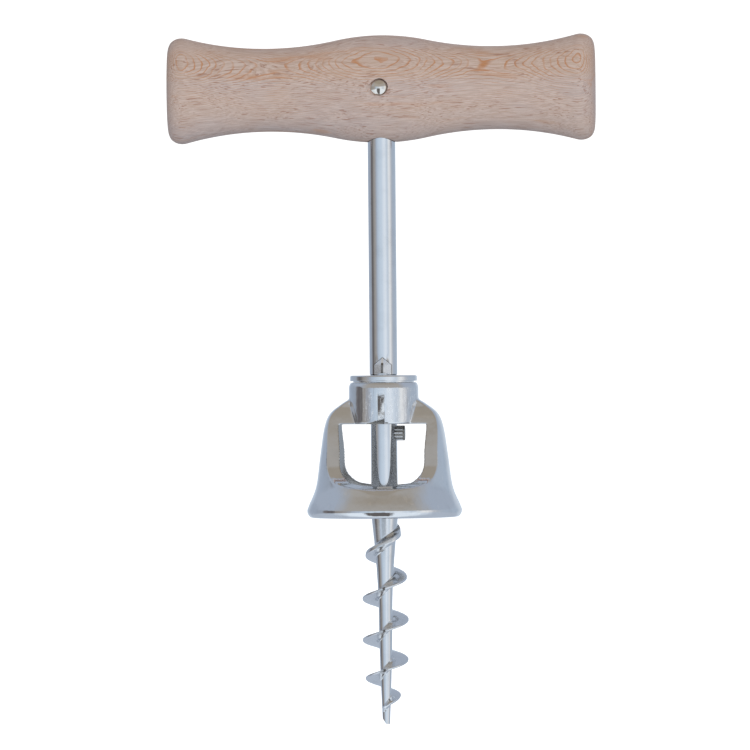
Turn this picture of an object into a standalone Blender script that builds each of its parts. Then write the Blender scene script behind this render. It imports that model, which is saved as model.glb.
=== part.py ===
"""Bell corkscrew, in metres, with +Z up along the spindle.

The origin is on the spindle's axis, in the plane of the worm's point. A wooden T-handle
carries a one-piece spindle, which is a plain shaft above and a worm with a solid core
below. An open bell turns freely on the spindle. Two swaged ears above its collar, with a
thrust washer under them, take the pull, and a pin pressed across the spindle below the
collar keeps the bell from sliding down onto the worm.
"""
import bmesh
import bpy
from math import cos, exp, log, pi, radians, sin, sqrt
from mathutils import Vector

MM = 0.001

# Clearances
GAP = 0.3 * MM              # between two pieces that touch or turn on each other
PLAY = 0.3 * MM             # free travel of the bell and its washer, each way
END_GAP = 0.1 * MM          # left between the pieces at either end of that travel
OVERCUT = 3 * MM            # how far a cutter runs past the face that it opens

# Spindle
WORM_LENGTH = 48.5 * MM     # from the point to where the flight has run out
PITCH_AT_POINT = 8.1 * MM
PITCH_AT_SHAFT = 11.3 * MM
POINT_RADIUS = 0.85 * MM    # of the solid core
CORE_RADIUS = 1.6 * MM      # of the solid core, half way up the worm
FLIGHT_RADIUS = 5.45 * MM
FLIGHT_START = 3.0 * MM     # above the point
FLIGHT_FACES_X = 6.2 * MM   # height at which the flight first points along +X
RIM_THICKNESS = 0.55 * MM   # of the flight at its edge, along the axis
ROOT_THICKNESS = 1.6 * MM   # of the flight at the core
RUN_OUT_EXTRA = 1.2 * MM    # what the flight is thicker where it runs out
WIDEST_TURN = 0.55          # where the flight is widest, as a share of the worm
POINT_BEVEL_WIDTH = 1.0 * MM
POINT_BEVEL_HEIGHT = 1.5 * MM
JOURNAL_RADIUS = 3.1 * MM   # where the bell turns
SHAFT_RADIUS = 3.25 * MM    # from the ears up
SHAFT_LENGTH = 54.2 * MM    # from the underside of the ears to the handle
SHAFT_CHAMFER = 0.5 * MM
EAR_HEIGHT = 3.9 * MM
EAR_SIDE_HEIGHT = 2.1 * MM
EAR_WIDTH = 4.2 * MM
EAR_RISE = 1.35 * MM        # how far the crest stands out of the shaft
EAR_CREST = 0.5 * MM

# Bell and washer
BELL_DROP = 48.5 * MM       # how far the worm's point reaches below the bell's rim
BOTTLE_LIP_RADIUS = 14.7 * MM
SEAT_WIDTH = 1.5 * MM       # of the ledge that stands on the bottle
SEAT_DEPTH = 4.0 * MM       # from the rim up to that ledge
CAGE_HEIGHT = 21.9 * MM     # from the rim to the underside of the collar
CEILING_RADIUS = 11.3 * MM  # of the hollow, under the collar
RING_HEIGHT = 7.1 * MM      # from the rim to the foot of the windows
RIM_WALL = 3.2 * MM
RING_WALL = 2.5 * MM
ARM_WALL = 2.6 * MM
SHOULDER_WALL = 2.7 * MM
SHOULDER_RISE = 6.2 * MM    # from the underside of the collar to the top of the shoulders
SHOULDER_HALF_DEPTH = 1.6 * MM
ARM_TOP_HALF_DEPTH = 5.0 * MM
ARM_HALF_DEPTH = 7.1 * MM
ARM_FOOT_HALF_DEPTH = 8.4 * MM
LIP_ROUNDING = 1.5 * MM
LIP_FLAT = 1.9 * MM         # width of the flat edge under the rim
COLLAR_LENGTH = 9.8 * MM
COLLAR_RADIUS = 8.15 * MM
COLLAR_CHAMFER = 0.4 * MM
NOTCH_DEPTH = 1.2 * MM
NOTCH_RAMP = 5.15 * MM
NOTCH_FACE = 0.65 * MM      # from the axis to the notch's steep face, along +X
NOTCH_REACH = 1.2 * MM      # how far the notch goes into the collar
WASHER_RADIUS = 7.85 * MM
WASHER_THICKNESS = 1.3 * MM
WASHER_CHAMFER = 0.2 * MM

# Stop pin
PIN_RADIUS = 1.75 * MM
PIN_PROUD = 1.85 * MM       # how far the free end stands out of the spindle
PIN_DEPTH = 1.3 * MM        # from the axis to the pin's end inside the spindle
PIN_FLUTES = 12
FLUTE_DEPTH = 0.15 * MM

# Handle and rivet
HANDLE_LENGTH = 100.6 * MM
HANDLE_HEIGHT = 25.2 * MM
HANDLE_DEPTH = 16.0 * MM
WAIST_HEIGHT = 19.5 * MM
WAIST_DEPTH = 13.6 * MM
WAIST_PLACE = 26.7 * MM     # from the middle of the handle to either waist
CREST_SHARE = 0.4           # how far the round middle reaches towards the waist
END_ARC = 73.0 * MM         # radius of the hollow from the waist out, in front view
END_ROUNDING = 3.8 * MM
END_BULGE = 0.7 * MM
SECTION_POWER = 2.15        # 2 is an ellipse, and more is squarer
SOCKET_DEPTH = 18.7 * MM    # of the spindle in the handle
RIVET_RADIUS = 1.4 * MM
RIVET_HEAD_RADIUS = 2.0 * MM
RIVET_HEAD_SINK = 1.2 * MM  # from the wood's face to the underside of the head
RIVET_DOME = 0.9 * MM
RIVET_PROUD = 0.4 * MM

# Places and sizes that follow from those above
MOUTH_RADIUS = BOTTLE_LIP_RADIUS + GAP
HOLLOW_RADIUS = MOUTH_RADIUS - SEAT_WIDTH
RIM_RADIUS = MOUTH_RADIUS + RIM_WALL
RING_RADIUS = HOLLOW_RADIUS + RING_WALL
SHOULDER_RADIUS = CEILING_RADIUS + SHOULDER_WALL
EAR_REACH = SHAFT_RADIUS + EAR_RISE
PIN_REACH = JOURNAL_RADIUS + PIN_PROUD
RIVET_SEAT = HANDLE_DEPTH / 2 - RIVET_HEAD_SINK
CEILING = BELL_DROP + CAGE_HEIGHT
COLLAR_TOP = CEILING + COLLAR_LENGTH
WASHER_BASE = COLLAR_TOP + GAP
EAR_BASE = WASHER_BASE + WASHER_THICKNESS + PLAY + END_GAP
PIN_HEIGHT = CEILING - PLAY - END_GAP - PIN_RADIUS
HANDLE_BASE = EAR_BASE + SHAFT_LENGTH
HANDLE_CENTRE = HANDLE_BASE + HANDLE_HEIGHT / 2
SPINDLE_TOP = HANDLE_BASE + SOCKET_DEPTH

# Facets
RING_POINTS = 24            # around the spindle
RINGS_PER_TURN = 16         # up the worm
TURNED_STEPS = 48
SMALL_STEPS = 24
HANDLE_POINTS = 28          # around the handle
HANDLE_RINGS = 14           # from the middle of the handle to where its end is rounded
HALF_FACET = pi / SMALL_STEPS   # turns a round tool so that its facets line up with nothing


# ---------------------------------------------------------------- helpers
def clear_scene():
    for thing in list(bpy.data.objects):
        bpy.data.objects.remove(thing)


def make_material(name, colour, roughness, metallic):
    material = bpy.data.materials.new(name)
    material.use_nodes = True
    shader = material.node_tree.nodes["Principled BSDF"]
    shader.inputs["Base Color"].default_value = (*colour, 1)
    shader.inputs["Roughness"].default_value = roughness
    shader.inputs["Metallic"].default_value = metallic
    material.diffuse_color = (*colour, 1)
    return material


def make_empty(name, height, parent=None):
    empty = bpy.data.objects.new(name, None)
    empty.location.z = height
    empty.empty_display_size = 10 * MM
    empty.parent = parent
    bpy.context.collection.objects.link(empty)
    return empty


def make_object(name, bm, material=None, parent=None, location=(0, 0, 0), rotation=(0, 0, 0)):
    bmesh.ops.recalc_face_normals(bm, faces=bm.faces)
    mesh = bpy.data.meshes.new(name)
    bm.to_mesh(mesh)
    bm.free()
    mesh.shade_smooth()
    mesh.set_sharp_from_angle(angle=radians(35))
    thing = bpy.data.objects.new(name, mesh)
    thing.location = location
    thing.rotation_euler = rotation
    thing.parent = parent
    if material:
        mesh.materials.append(material)
    bpy.context.collection.objects.link(thing)
    return thing


def apply_tool(target, tool, operation):
    """Cut the tool out of the target, or join it on."""
    modifier = target.modifiers.new(tool.name, "BOOLEAN")
    modifier.operation = operation
    modifier.solver = "EXACT"
    modifier.object = tool
    tool.hide_render = True
    tool.display_type = "WIRE"


def turned(profile, steps=TURNED_STEPS):
    """Spin a closed outline of (radius, height) points once round the Z axis."""
    bm = bmesh.new()
    points = [bm.verts.new((radius, 0, height)) for radius, height in profile]
    edges = [bm.edges.new(pair) for pair in zip(points, points[1:])]
    if profile[0][0] > 0:
        edges.append(bm.edges.new((points[-1], points[0])))
    bmesh.ops.spin(bm, geom=points + edges, axis=(0, 0, 1), angle=2 * pi, steps=steps,
                   use_merge=True)
    bmesh.ops.remove_doubles(bm, verts=bm.verts, dist=0.001 * MM)
    return bm


def cylinder(radius, start, end, steps=SMALL_STEPS):
    return turned([(0, start), (radius, start), (radius, end), (0, end)], steps)


def lofted(rings):
    """Join rings of points, all of one count, and close both ends."""
    bm = bmesh.new()
    loops = [[bm.verts.new(point) for point in ring] for ring in rings]
    for lower, upper in zip(loops, loops[1:]):
        for k in range(len(lower)):
            n = (k + 1) % len(lower)
            bm.faces.new((lower[k], lower[n], upper[n], upper[k]))
    bm.faces.new(loops[0])
    bm.faces.new(loops[-1])
    return bm


def prism(outline, axis, start, end):
    """Extrude a closed outline along X or Y; its points are (Y, Z) or (X, Z)."""
    def place(point, along):
        return (along, *point) if axis == "X" else (point[0], along, point[1])
    return lofted([[place(point, along) for point in outline] for along in (start, end)])


def smooth_curve(points, steps=4):
    """A Catmull-Rom curve through points of the plane."""
    points = [Vector(point) for point in points]
    ends = [2 * points[0] - points[1], *points, 2 * points[-1] - points[-2]]
    curve = []
    for a, b, c, d in zip(ends, ends[1:], ends[2:], ends[3:]):
        for step in range(steps):
            t = step / steps
            curve.append(0.5 * (2 * b + (c - a) * t + (2 * a - 5 * b + 4 * c - d) * t * t
                                + (3 * b - a - 3 * c + d) * t ** 3))
    return [tuple(point) for point in curve] + [tuple(points[-1])]


# ---------------------------------------------------------------- spindle
def turns_up_to(height):
    """Turns of the flight between the point and a height; the pitch grows evenly."""
    growth = (PITCH_AT_SHAFT - PITCH_AT_POINT) / WORM_LENGTH
    return log(1 + growth * height / PITCH_AT_POINT) / growth


def height_after(turns):
    growth = (PITCH_AT_SHAFT - PITCH_AT_POINT) / WORM_LENGTH
    return PITCH_AT_POINT * (exp(growth * turns) - 1) / growth


def pitch_at(height):
    return PITCH_AT_POINT + (PITCH_AT_SHAFT - PITCH_AT_POINT) * height / WORM_LENGTH


def core_radius(height):
    """The core swells a little to the middle of the worm, then out to the journal."""
    middle = WORM_LENGTH / 2
    if height < middle:
        return CORE_RADIUS - (CORE_RADIUS - POINT_RADIUS) * (1 - height / middle) ** 1.5
    share = min((height - middle) / middle, 1)
    return CORE_RADIUS + (JOURNAL_RADIUS - CORE_RADIUS) * share ** 1.8


def run_out(height):
    """0 up to the widest turn of the flight, and 1 where the flight has run out."""
    widest = WIDEST_TURN * WORM_LENGTH
    return max(0, min((height - widest) / (WORM_LENGTH - widest), 1)) ** 2


def flight_radius(height):
    """The flight grows fast out of the core and runs out slowly into the journal."""
    core = core_radius(height)
    widest = WIDEST_TURN * WORM_LENGTH
    lead = max(0, min((height - FLIGHT_START) / (widest - FLIGHT_START), 1))
    radius = core + (FLIGHT_RADIUS - core) * (1 - (1 - lead) ** 4.8)
    return radius + (JOURNAL_RADIUS - radius) * run_out(height)


def worm_ring(height):
    """One level section: a round core with the flight standing out on one side."""
    core, flight = core_radius(height), flight_radius(height)
    extra = RUN_OUT_EXTRA * run_out(height)
    rim = pi * (RIM_THICKNESS + extra) / pitch_at(height)
    root = pi * (ROOT_THICKNESS + extra) / pitch_at(height)
    half = [(0, 1), (rim, 1), ((rim + root) / 2, 0.42), (root, 0.1), (1.5 * root, 0)]
    rest = RING_POINTS // 2 + 1 - len(half)
    half += [(1.5 * root + (pi - 1.5 * root) * k / rest, 0) for k in range(1, rest + 1)]
    sides = [(-angle, share) for angle, share in half[-2:0:-1]] + half
    middle = 2 * pi * (turns_up_to(height) - turns_up_to(FLIGHT_FACES_X))
    ring = []
    for angle, share in sides:
        radius = core + (flight - core) * share
        ring.append((radius * cos(middle + angle), radius * sin(middle + angle), height))
    return ring


def shaft_ring(height, radius):
    """A round section whose first point lines up with the top of the worm."""
    start = 2 * pi * (turns_up_to(WORM_LENGTH) - turns_up_to(FLIGHT_FACES_X)) + pi
    ring = []
    for k in range(1, RING_POINTS + 1):
        angle = start + 2 * pi * k / RING_POINTS
        ring.append((radius * cos(angle), radius * sin(angle), height))
    return ring


def slice_off(bm, point, outward):
    """Cut a body at a plane, drop the side that outward points to, and close it."""
    everything = bm.verts[:] + bm.edges[:] + bm.faces[:]
    cut = bmesh.ops.bisect_plane(bm, geom=everything, plane_co=point, plane_no=outward,
                                 clear_outer=True)
    edges = [item for item in cut["geom_cut"] if isinstance(item, bmesh.types.BMEdge)]
    bmesh.ops.edgeloop_fill(bm, edges=edges)


def make_ear(side):
    """A house-shaped ear with a narrow crest, swaged out of the shaft on the -Y or +Y side."""
    foot = 0.75 * SHAFT_RADIUS
    low, eaves, roof = EAR_BASE, EAR_BASE + EAR_SIDE_HEIGHT, EAR_BASE + EAR_HEIGHT
    points = [(0, foot, roof), (0, 0, low), (0, 0, eaves)]
    for x in (-1, 1):
        points += [(x * EAR_WIDTH / 2, foot, low), (x * EAR_WIDTH / 2, foot, eaves)]
        points += [(x * EAR_CREST / 2, EAR_REACH, low), (x * EAR_CREST / 2, EAR_REACH, eaves)]
        points += [(x * EAR_CREST / 2, SHAFT_RADIUS + GAP, roof - GAP)]
    bm = bmesh.new()
    verts = [bm.verts.new((x, side * y, z)) for x, y, z in points]
    hull = bmesh.ops.convex_hull(bm, input=verts)
    bmesh.ops.delete(bm, geom=[v for v in hull["geom_interior"]
                               if isinstance(v, bmesh.types.BMVert)], context="VERTS")
    return bm


def make_spindle(material, parent):
    total = turns_up_to(WORM_LENGTH)
    rings_up = int(total * RINGS_PER_TURN)
    rings = [worm_ring(height_after(total * k / rings_up)) for k in range(rings_up)]
    step = abs(SHAFT_RADIUS - JOURNAL_RADIUS)
    rings += [shaft_ring(WORM_LENGTH, JOURNAL_RADIUS),
              shaft_ring(EAR_BASE - GAP, JOURNAL_RADIUS),
              shaft_ring(EAR_BASE - GAP + step, SHAFT_RADIUS),
              shaft_ring(SPINDLE_TOP - SHAFT_CHAMFER, SHAFT_RADIUS),
              shaft_ring(SPINDLE_TOP, SHAFT_RADIUS - SHAFT_CHAMFER)]
    bm = lofted(rings)
    slice_off(bm, (0, 0, 0), (-POINT_BEVEL_HEIGHT, 0, -POINT_BEVEL_WIDTH))
    spindle = make_object("spindle", bm, material, parent)
    for name, side in (("front_ear", -1), ("back_ear", 1)):
        apply_tool(spindle, make_object(name, make_ear(side)), "UNION")
    hole = cylinder(RIVET_RADIUS + GAP, -SHAFT_RADIUS - OVERCUT, SHAFT_RADIUS + OVERCUT)
    cutter = make_object("rivet_hole", hole, location=(0, 0, HANDLE_CENTRE),
                         rotation=(pi / 2, 0, 0))
    apply_tool(spindle, cutter, "DIFFERENCE")
    hole = cylinder(PIN_RADIUS + GAP, -PIN_DEPTH - GAP, JOURNAL_RADIUS + OVERCUT)
    cutter = make_object("pin_hole", hole, location=(0, 0, PIN_HEIGHT),
                         rotation=(0, pi / 2, 0))
    apply_tool(spindle, cutter, "DIFFERENCE")
    return spindle


def make_stop_pin(material, parent):
    """A knurled pin: fluted along its length, with a small chamfer on its free end."""
    def ring(along, shrink):
        points = []
        for k in range(2 * PIN_FLUTES):
            radius = PIN_RADIUS - shrink - (FLUTE_DEPTH if k % 2 else 0)
            angle = pi * k / PIN_FLUTES
            points.append((radius * cos(angle), radius * sin(angle), along))
        return points
    rings = [ring(-PIN_DEPTH, 0), ring(PIN_REACH - FLUTE_DEPTH, 0), ring(PIN_REACH, FLUTE_DEPTH)]
    return make_object("stop_pin", lofted(rings), material, parent,
                       (0, 0, PIN_HEIGHT), (0, pi / 2, 0))


# ---------------------------------------------------------------- bell and washer
def between(low, high, share):
    return low + (high - low) * share


def bell_outside():
    """Radius and height above the rim, from the top of the shoulders down to the lip."""
    top = CAGE_HEIGHT + SHOULDER_RISE
    middle = (CAGE_HEIGHT + RING_HEIGHT) / 2
    curve = smooth_curve([(COLLAR_RADIUS - 2 * GAP, top),
                          (between(COLLAR_RADIUS, SHOULDER_RADIUS, 0.34),
                           between(CAGE_HEIGHT, top, 0.74)),
                          (between(COLLAR_RADIUS, SHOULDER_RADIUS, 0.78),
                           between(CAGE_HEIGHT, top, 0.39)),
                          (SHOULDER_RADIUS, between(CAGE_HEIGHT, middle, 0.12)),
                          (between(CEILING_RADIUS, HOLLOW_RADIUS, 0.5) + ARM_WALL, middle),
                          (RING_RADIUS, RING_HEIGHT + GAP),
                          (RIM_RADIUS - 2 * GAP, 2 * LIP_ROUNDING),
                          (RIM_RADIUS, LIP_ROUNDING)])
    edge = MOUTH_RADIUS + LIP_FLAT
    lip = [(edge + (RIM_RADIUS - edge) * cos(radians(angle)),
            LIP_ROUNDING * (1 - sin(radians(angle)))) for angle in (30, 60, 90)]
    return [(0, top), *curve, *lip, (0, 0)]


def window_outline():
    """(Depth, height above the rim) of the cut that leaves the arms and the ring standing."""
    foot, outside = RING_HEIGHT, RIM_RADIUS + OVERCUT
    above = CAGE_HEIGHT + COLLAR_LENGTH + OVERCUT
    curve = smooth_curve([(SHOULDER_HALF_DEPTH, CAGE_HEIGHT + SHOULDER_RISE + GAP),
                          (between(SHOULDER_HALF_DEPTH, ARM_TOP_HALF_DEPTH, 0.6),
                           CAGE_HEIGHT + SHOULDER_RISE / 2),
                          (ARM_TOP_HALF_DEPTH, CAGE_HEIGHT),
                          (ARM_HALF_DEPTH, between(foot, CAGE_HEIGHT, 0.63)),
                          (ARM_FOOT_HALF_DEPTH, between(foot, CAGE_HEIGHT, 0.31)),
                          (between(ARM_FOOT_HALF_DEPTH, HOLLOW_RADIUS, 0.5),
                           between(foot, CAGE_HEIGHT, 0.1)),
                          (HOLLOW_RADIUS + GAP, foot - GAP / 3),
                          (RING_RADIUS + GAP, foot - 3 * GAP),
                          (outside, foot - 4 * GAP)])
    return curve + [(outside, above), (SHOULDER_HALF_DEPTH, above)]


def make_bell(material, parent):
    bell = make_object("bell", turned(bell_outside()), material, parent)
    for name, side in (("front_window", -1), ("back_window", 1)):
        outline = [(side * depth, height) for depth, height in window_outline()]
        cutter = prism(outline, "X", -RIM_RADIUS - OVERCUT, RIM_RADIUS + OVERCUT)
        apply_tool(bell, make_object(name, cutter, parent=parent), "DIFFERENCE")
    low, top = CAGE_HEIGHT - OVERCUT, CAGE_HEIGHT + COLLAR_LENGTH
    collar = turned([(0, low), (COLLAR_RADIUS, low), (COLLAR_RADIUS, top - COLLAR_CHAMFER),
                     (COLLAR_RADIUS - COLLAR_CHAMFER, top), (0, top)])
    # Turned by half a facet, so that its facets don't line up with those of the shoulders.
    tool = make_object("collar", collar, parent=parent, rotation=(0, 0, pi / TURNED_STEPS))
    apply_tool(bell, tool, "UNION")
    under = GAP / NOTCH_DEPTH
    notch = prism([(NOTCH_FACE - NOTCH_RAMP * (1 + under), CAGE_HEIGHT - GAP),
                   (NOTCH_FACE, CAGE_HEIGHT + NOTCH_DEPTH), (NOTCH_FACE, CAGE_HEIGHT - GAP)],
                  "Y", -COLLAR_RADIUS - OVERCUT, NOTCH_REACH - COLLAR_RADIUS)
    apply_tool(bell, make_object("notch", notch, parent=parent), "DIFFERENCE")
    straight = between(SEAT_DEPTH, RING_HEIGHT, 0.5)
    hollow = turned([(0, -OVERCUT), (MOUTH_RADIUS, -OVERCUT), (MOUTH_RADIUS, SEAT_DEPTH),
                     (HOLLOW_RADIUS, SEAT_DEPTH), (HOLLOW_RADIUS, straight),
                     (CEILING_RADIUS, CAGE_HEIGHT), (0, CAGE_HEIGHT)])
    apply_tool(bell, make_object("hollow", hollow, parent=parent), "DIFFERENCE")
    bore = cylinder(JOURNAL_RADIUS + GAP, CAGE_HEIGHT - OVERCUT, top + OVERCUT)
    apply_tool(bell, make_object("collar_bore", bore, parent=parent), "DIFFERENCE")
    return bell


def make_washer(material, parent):
    inner, outer, edge = JOURNAL_RADIUS + GAP, WASHER_RADIUS, WASHER_CHAMFER
    profile = [(inner, 0), (outer - edge, 0), (outer, edge), (outer, WASHER_THICKNESS - edge),
               (outer - edge, WASHER_THICKNESS), (inner, WASHER_THICKNESS)]
    return make_object("thrust_washer", turned(profile), material, parent,
                       (0, 0, WASHER_BASE - BELL_DROP))


# ---------------------------------------------------------------- handle and rivet
def outline_half_height(along):
    """Half the handle's height: a round crest, a hollow waist and a flare to the end."""
    crest, waist = HANDLE_HEIGHT / 2, WAIST_HEIGHT / 2
    rise = crest - waist
    # From crest to waist, two arcs touch each other and both run level at their ends, which
    # fixes the sum of their radii.
    both = (WAIST_PLACE ** 2 + rise ** 2) / (2 * rise)
    crest_arc, waist_arc = both * CREST_SHARE, both * (1 - CREST_SHARE)
    along = abs(along)
    if along < WAIST_PLACE * CREST_SHARE:
        return crest - crest_arc + sqrt(crest_arc ** 2 - along ** 2)
    if along > WAIST_PLACE:
        waist_arc = END_ARC
    return waist + waist_arc - sqrt(waist_arc ** 2 - (along - WAIST_PLACE) ** 2)


def handle_ring(along, shrink, shift=0):
    """A rounded-oval section across the handle, inset by shrink."""
    half_height = outline_half_height(along)
    share = (half_height - WAIST_HEIGHT / 2) / (HANDLE_HEIGHT / 2 - WAIST_HEIGHT / 2)
    half_depth = (WAIST_DEPTH + (HANDLE_DEPTH - WAIST_DEPTH) * share) / 2
    ring = []
    for k in range(HANDLE_POINTS):
        angle = 2 * pi * k / HANDLE_POINTS
        c, s = cos(angle), sin(angle)
        y = abs(c) ** (2 / SECTION_POWER) * (1 if c > 0 else -1) * (half_depth - shrink)
        z = abs(s) ** (2 / SECTION_POWER) * (1 if s > 0 else -1) * (half_height - shrink)
        ring.append((along + shift, y, z))
    return ring


def make_handle(material, parent):
    half = HANDLE_LENGTH / 2 - END_BULGE
    straight = half - END_ROUNDING
    places = [straight * k / HANDLE_RINGS for k in range(HANDLE_RINGS + 1)]
    right = [handle_ring(x, 0) for x in places]
    for angle in (22.5, 45, 67.5, 90):
        c, s = cos(radians(angle)), sin(radians(angle))
        right.append(handle_ring(straight + END_ROUNDING * s, END_ROUNDING * (1 - c)))
    for share in (0.4, 0.8):
        inset = END_ROUNDING + share * (WAIST_DEPTH / 2 - END_ROUNDING)
        right.append(handle_ring(half, inset, END_BULGE * sqrt(share / 0.8)))
    left = [[(-x, y, z) for x, y, z in ring] for ring in right[:0:-1]]
    handle = make_object("handle", lofted(left + right), material, parent,
                         (0, 0, HANDLE_CENTRE))
    low = -HANDLE_HEIGHT / 2
    socket = cylinder(SHAFT_RADIUS + GAP, low - OVERCUT, low + SOCKET_DEPTH + GAP)
    cutter = make_object("socket", socket, location=(0, 0, HANDLE_CENTRE),
                         rotation=(0, 0, HALF_FACET))
    apply_tool(handle, cutter, "DIFFERENCE")
    floor, shank, seat = RIVET_SEAT - GAP, RIVET_RADIUS + GAP, RIVET_HEAD_RADIUS + GAP
    past = HANDLE_DEPTH / 2 + OVERCUT
    hole = turned([(0, -past), (seat, -past), (seat, -floor), (shank, -floor),
                   (shank, floor), (seat, floor), (seat, past), (0, past)], SMALL_STEPS)
    cutter = make_object("rivet_seat", hole, location=(0, 0, HANDLE_CENTRE),
                         rotation=(pi / 2, HALF_FACET, 0))
    apply_tool(handle, cutter, "DIFFERENCE")
    return handle


def make_rivet(material, parent):
    """A rivet with a domed head at each end, the back one peened over."""
    edge = HANDLE_DEPTH / 2 + RIVET_PROUD - RIVET_DOME
    half = [(RIVET_RADIUS, RIVET_SEAT), (RIVET_HEAD_RADIUS, RIVET_SEAT)]
    for angle in (0, 22.5, 45, 67.5, 90):
        radius = RIVET_HEAD_RADIUS * cos(radians(angle)) if angle < 90 else 0
        half.append((radius, edge + RIVET_DOME * sin(radians(angle))))
    profile = [(radius, -height) for radius, height in half[::-1]] + half
    return make_object("handle_rivet", turned(profile, SMALL_STEPS), material, parent,
                       (0, 0, HANDLE_CENTRE), (pi / 2, 0, 0))


# ---------------------------------------------------------------- assembly
def main():
    clear_scene()
    wood = make_material("raw_beech", (0.52, 0.37, 0.29), 0.62, 0.0)
    steel = make_material("plated_steel", (0.60, 0.61, 0.63), 0.24, 1.0)
    pin_steel = make_material("knurled_pin_steel", (0.50, 0.50, 0.51), 0.32, 1.0)
    rivet_steel = make_material("rivet_steel", (0.58, 0.57, 0.56), 0.28, 1.0)
    casting = make_material("plated_casting", (0.62, 0.62, 0.63), 0.14, 1.0)
    washer_steel = make_material("plated_washer", (0.60, 0.62, 0.65), 0.20, 1.0)
    corkscrew = make_empty("corkscrew", 0)
    bell_carriage = make_empty("bell_carriage", BELL_DROP, corkscrew)
    make_spindle(steel, corkscrew)
    make_stop_pin(pin_steel, corkscrew)
    make_handle(wood, corkscrew)
    make_rivet(rivet_steel, corkscrew)
    make_bell(casting, bell_carriage)
    make_washer(washer_steel, bell_carriage)


main()
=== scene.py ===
# %% [markdown]
# # A bell corkscrew, finished for the shop window
#
# The CAD model of this corkscrew is already exact, but it is made for strength checks: its
# worm has few facets, its edges are knife sharp and it has no finish. In this lesson each
# part is modelled again at the same sizes, with the roundings that a polishing wheel leaves,
# and then given its real surface: raw beech, plated bar steel and a polished casting.

# %% Load the exact model as a fixed frame
from math import ceil, cos, exp, log, pi, radians, sin, sqrt

import bmesh
import bpy
from mathutils import Matrix, Vector


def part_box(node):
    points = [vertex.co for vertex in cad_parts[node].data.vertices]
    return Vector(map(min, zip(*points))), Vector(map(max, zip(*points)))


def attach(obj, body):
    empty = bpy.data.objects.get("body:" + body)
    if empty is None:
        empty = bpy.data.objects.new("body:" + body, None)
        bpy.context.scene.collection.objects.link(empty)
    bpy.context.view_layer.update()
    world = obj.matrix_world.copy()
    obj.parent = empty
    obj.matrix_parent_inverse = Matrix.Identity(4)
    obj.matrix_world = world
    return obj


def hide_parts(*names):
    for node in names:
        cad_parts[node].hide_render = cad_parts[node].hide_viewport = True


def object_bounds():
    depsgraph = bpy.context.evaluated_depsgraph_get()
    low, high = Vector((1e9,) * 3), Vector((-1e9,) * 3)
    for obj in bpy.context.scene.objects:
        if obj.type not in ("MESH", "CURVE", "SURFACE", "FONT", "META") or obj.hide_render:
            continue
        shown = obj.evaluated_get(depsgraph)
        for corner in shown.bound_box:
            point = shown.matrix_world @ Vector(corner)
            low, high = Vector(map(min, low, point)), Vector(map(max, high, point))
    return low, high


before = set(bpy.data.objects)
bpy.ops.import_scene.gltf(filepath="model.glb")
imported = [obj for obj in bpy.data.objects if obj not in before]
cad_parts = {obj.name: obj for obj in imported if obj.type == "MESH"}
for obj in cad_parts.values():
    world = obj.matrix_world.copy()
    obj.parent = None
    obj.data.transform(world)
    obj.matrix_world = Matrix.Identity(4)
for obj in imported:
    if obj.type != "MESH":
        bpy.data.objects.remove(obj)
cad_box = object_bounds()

MM = 0.001
for node in sorted(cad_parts):
    low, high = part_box(node)
    print(node, "is", [round(side / MM, 1) for side in high - low], "mm")

# %% [markdown]
# ## Where things are
#
# Every place comes from the CAD boxes, so a new piece lands where the old one stood. Only
# sizes that a box can't show, such as a pitch or a wall, are written down again.

# %% Read the heights and radii that all pieces share
handle_low, handle_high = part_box("handle")
spindle_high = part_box("spindle")[1]
bell_low, bell_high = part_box("bell")
washer_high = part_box("thrust_washer")[1]
pin_low, pin_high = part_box("stop_pin")
rivet_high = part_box("handle_rivet")[1]

handle_top = handle_high.z
rim = bell_low.z
collar_top = bell_high.z
pin_height = (pin_low.z + pin_high.z) / 2
gap = 0.3 * MM
shaft_radius = 3.25 * MM
journal_radius = 3.1 * MM
print("the handle's top is", round(handle_top / MM, 2), "mm above the point")


# %% [markdown]
# ## Three ways to start a shape
#
# A lathe, a rolled sheet and a slab cover all of this object. A turned part is an outline
# spun round an axis. A part whose section changes along its length, such as the worm or the
# handle, is a flat grid rolled into a tube: Blender makes the faces, and one short rule says
# where each point of the sheet goes. A slab is an outline pushed through to some thickness,
# and is mostly used for cutting.

# %% Shapes that later cells cut, join and round
def turned(profile, steps):
    """Spin a closed outline of (radius, height) points once round the Z axis."""
    bm = bmesh.new()
    points = [bm.verts.new((radius, 0, height)) for radius, height in profile]
    edges = [bm.edges.new(pair) for pair in zip(points, points[1:])]
    if profile[0][0] > 0:
        edges.append(bm.edges.new((points[-1], points[0])))
    bmesh.ops.spin(bm, geom=points + edges, axis=(0, 0, 1), angle=2 * pi, steps=steps,
                   use_merge=True)
    bmesh.ops.remove_doubles(bm, verts=bm.verts, dist=0.001 * MM)
    return bm


def rolled(around, along, place):
    """Roll a grid into a tube with closed ends; place(u, v) says where a point of it goes."""
    bm = bmesh.new()
    bmesh.ops.create_grid(bm, x_segments=around, y_segments=along, size=0.5)
    for vert in bm.verts:
        vert.co = place(vert.co.x + 0.5, vert.co.y + 0.5)
    bmesh.ops.remove_doubles(bm, verts=bm.verts, dist=0.001 * MM)
    bmesh.ops.holes_fill(bm, edges=[edge for edge in bm.edges if edge.is_boundary])
    return bm


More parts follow.
